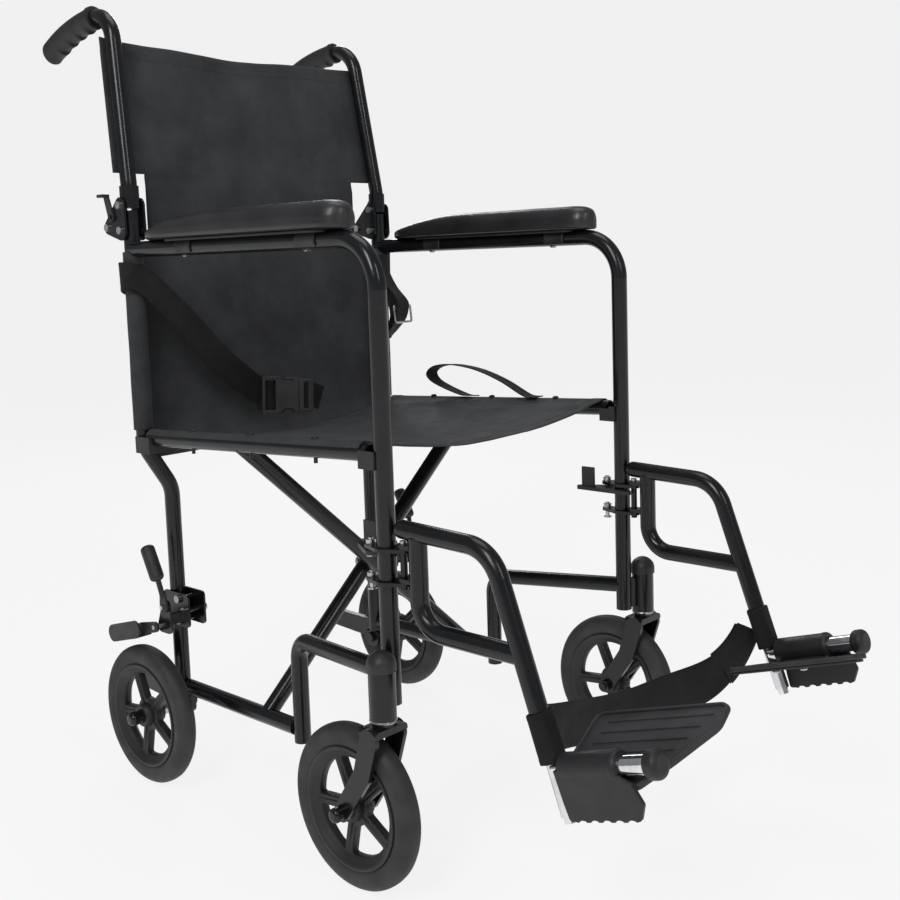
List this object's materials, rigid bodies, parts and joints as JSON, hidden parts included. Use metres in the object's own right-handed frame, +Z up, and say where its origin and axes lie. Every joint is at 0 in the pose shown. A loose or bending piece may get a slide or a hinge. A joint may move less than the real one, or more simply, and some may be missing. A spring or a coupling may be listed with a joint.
{
  "type": "folding transport wheelchair",
  "caption": "Folding transport wheelchair with cross brace, small solid wheels, casters, padded armrests, swing-away footrests, wheel locks and a fold-down back with push grips.",
  "frame": {"origin": "middle of the chair's overall length and width, on the floor", "axes": "+Z up, the chair faces -Y, the occupant's left is +X"},
  "size_m": [0.572, 1.0422, 1.0482],
  "materials": {
    "frame_paint": "gloss black",
    "black_plastic": "moulded black",
    "rim_plastic": "moulded black",
    "zinc_steel": "zinc plated",
    "chrome": "bright",
    "vinyl": "smooth padded vinyl",
    "tyre": "solid grey-black",
    "grip_rubber": "matt",
    "nylon": "woven charcoal nylon",
    "webbing": "woven strap"
  },
  "bodies": {
    "right_frame": {"right_front_tube": "frame_paint", "right_rear_tube": "frame_paint", "right_lower_loop": "frame_paint", "right_caster_housing": "frame_paint", "right_housing_cap": "black_plastic", "right_arm_pad": "vinyl", "right_rail_saddles": "black_plastic", "right_hardware": "zinc_steel", "right_rear_axle": "zinc_steel", "lower_back_sling": "nylon", "belt_right": "webbing", "buckle": "black_plastic"},
    "left_frame": {"left_front_tube": "frame_paint", "left_rear_tube": "frame_paint", "left_lower_loop": "frame_paint", "left_caster_housing": "frame_paint", "left_housing_cap": "black_plastic", "left_arm_pad": "vinyl", "left_rail_saddles": "black_plastic", "left_hardware": "zinc_steel", "left_rear_axle": "zinc_steel", "belt_left": "webbing"},
    "brace_b": {"brace_b": "frame_paint", "pivot_bolt": "zinc_steel", "left_seat_rail": "frame_paint", "pull_loop": "webbing", "seat_sling": "nylon"},
    "brace_a": {"brace_a": "frame_paint", "right_seat_rail": "frame_paint"},
    "right_back": {"right_cane": "frame_paint", "right_grip": "grip_rubber", "upper_back_sling": "nylon"},
    "left_back": {"left_cane": "frame_paint", "left_grip": "grip_rubber"},
    "right_release": {"right_release_lever": "black_plastic"},
    "right_caster_fork": {"right_fork": "frame_paint"},
    "right_front_wheel": {"right_front_tyre": "tyre", "right_front_rim": "rim_plastic"},
    "right_rear_wheel": {"right_rear_tyre": "tyre", "right_rear_rim": "rim_plastic"},
    "right_lock": {"right_lock_lever": "black_plastic"},
    "right_shoe": {"right_lock_shoe": "frame_paint"},
    "right_footrest": {"right_hanger": "frame_paint", "right_foot_post": "chrome", "heel_strap": "webbing"},
    "right_plate": {"right_footplate": "black_plastic"},
    "right_latch_lever": {"right_latch": "zinc_steel"},
    "left_release": {"left_release_lever": "black_plastic"},
    "left_caster_fork": {"left_fork": "frame_paint"},
    "left_front_wheel": {"left_front_tyre": "tyre", "left_front_rim": "rim_plastic"},
    "left_rear_wheel": {"left_rear_tyre": "tyre", "left_rear_rim": "rim_plastic"},
    "left_lock": {"left_lock_lever": "black_plastic"},
    "left_shoe": {"left_lock_shoe": "frame_paint"},
    "left_footrest": {"left_hanger": "frame_paint", "left_foot_post": "chrome"},
    "left_plate": {"left_footplate": "black_plastic"},
    "left_latch_lever": {"left_latch": "zinc_steel"}
  },
  "joints": [
    {"name": "brace_fold", "type": "hinge", "parent": "right_frame", "child": "brace_b", "pos_m": [-0.184, 0.13705, 0.12], "axis": [0, -1, 0], "range_deg": [0, 31.5], "deforming": ["seat_sling", "upper_back_sling", "lower_back_sling", "heel_strap"]},
    {"name": "cross_pivot", "type": "hinge", "parent": "brace_b", "child": "brace_a", "pos_m": [0, 0.12455, 0.28437], "axis": [0, -1, 0], "range_deg": [-63, 0]},
    {"name": "left_foot_pivot", "type": "hinge", "parent": "brace_a", "child": "left_frame", "pos_m": [0.184, 0.11255, 0.12], "axis": [0, -1, 0], "range_deg": [0, 31.5]},
    {"name": "right_caster_swivel", "type": "hinge", "parent": "right_frame", "child": "right_caster_fork", "pos_m": [-0.249, -0.15445, 0.23], "axis": [0, 0, 1], "continuous": true},
    {"name": "right_front_roll", "type": "hinge", "parent": "right_caster_fork", "child": "right_front_wheel", "pos_m": [-0.249, -0.10545, 0.095], "axis": [1, 0, 0], "continuous": true},
    {"name": "right_rear_roll", "type": "hinge", "parent": "right_frame", "child": "right_rear_wheel", "pos_m": [-0.2385, 0.32455, 0.095], "axis": [1, 0, 0], "continuous": true},
    {"name": "right_back_fold", "type": "hinge", "parent": "right_frame", "child": "right_back", "pos_m": [-0.222, 0.35455, 0.755], "axis": [-1, 0, 0], "range_deg": [0, 120]},
    {"name": "right_release_press", "type": "hinge", "parent": "right_frame", "child": "right_release", "pos_m": [-0.252, 0.34255, 0.768], "axis": [-1, 0, 0], "range_deg": [0, 20], "stiffness_Nm_per_rad": 0.2, "springref_deg": -11.46},
    {"name": "right_lock_turn", "type": "hinge", "parent": "right_frame", "child": "right_lock", "pos_m": [-0.233, 0.28455, 0.25], "axis": [1, 0, 0], "range_deg": [0, 52]},
    {"name": "right_shoe_press", "type": "hinge", "parent": "right_frame", "child": "right_shoe", "pos_m": [-0.24, 0.29655, 0.222], "axis": [-1, 0, 0], "range_deg": [0, 8.32]},
    {"name": "right_footrest_swing", "type": "hinge", "parent": "right_frame", "child": "right_footrest", "pos_m": [-0.218, -0.16345, 0.37], "axis": [0, 0, -1], "range_deg": [0, 90]},
    {"name": "right_plate_flip", "type": "hinge", "parent": "right_footrest", "child": "right_plate", "pos_m": [-0.218, -0.35645, 0.196], "axis": [0, -0.9548, 0.2974], "range_deg": [0, 64]},
    {"name": "right_latch_press", "type": "hinge", "parent": "right_frame", "child": "right_latch_lever", "pos_m": [-0.222, -0.11645, 0.381], "axis": [0, 0, 1], "range_deg": [0, 25], "stiffness_Nm_per_rad": 0.2, "springref_deg": -11.46},
    {"name": "left_caster_swivel", "type": "hinge", "parent": "left_frame", "child": "left_caster_fork", "pos_m": [0.249, -0.15445, 0.23], "axis": [0, 0, 1], "continuous": true},
    {"name": "left_front_roll", "type": "hinge", "parent": "left_caster_fork", "child": "left_front_wheel", "pos_m": [0.249, -0.10545, 0.095], "axis": [1, 0, 0], "continuous": true},
    {"name": "left_rear_roll", "type": "hinge", "parent": "left_frame", "child": "left_rear_wheel", "pos_m": [0.2385, 0.32455, 0.095], "axis": [1, 0, 0], "continuous": true},
    {"name": "left_back_fold", "type": "hinge", "parent": "left_frame", "child": "left_back", "pos_m": [0.222, 0.35455, 0.755], "axis": [-1, 0, 0], "range_deg": [0, 120]},
    {"name": "left_release_press", "type": "hinge", "parent": "left_frame", "child": "left_release", "pos_m": [0.252, 0.34255, 0.768], "axis": [-1, 0, 0], "range_deg": [0, 20], "stiffness_Nm_per_rad": 0.2, "springref_deg": -11.46},
    {"name": "left_lock_turn", "type": "hinge", "parent": "left_frame", "child": "left_lock", "pos_m": [0.233, 0.28455, 0.25], "axis": [1, 0, 0], "range_deg": [0, 52]},
    {"name": "left_shoe_press", "type": "hinge", "parent": "left_frame", "child": "left_shoe", "pos_m": [0.24, 0.29655, 0.222], "axis": [-1, 0, 0], "range_deg": [0, 8.32]},
    {"name": "left_footrest_swing", "type": "hinge", "parent": "left_frame", "child": "left_footrest", "pos_m": [0.218, -0.16345, 0.37], "axis": [0, 0, 1], "range_deg": [0, 90]},
    {"name": "left_plate_flip", "type": "hinge", "parent": "left_footrest", "child": "left_plate", "pos_m": [0.218, -0.35645, 0.196], "axis": [0, 0.9548, -0.2974], "range_deg": [0, 78.5]},
    {"name": "left_latch_press", "type": "hinge", "parent": "left_frame", "child": "left_latch_lever", "pos_m": [0.222, -0.11645, 0.381], "axis": [0, 0, -1], "range_deg": [0, 25], "stiffness_Nm_per_rad": 0.2, "springref_deg": -11.46}
  ],
  "couplings": [
    {"joint": "cross_pivot", "follows": "brace_fold", "ratio": -2},
    {"joint": "left_foot_pivot", "follows": "brace_fold", "ratio": 1},
    {"joint": "left_back_fold", "follows": "right_back_fold", "ratio": 1},
    {"joint": "right_shoe_press", "follows": "right_lock_turn", "ratio": 0.15385},
    {"joint": "left_shoe_press", "follows": "left_lock_turn", "ratio": 0.15385}
  ]
}
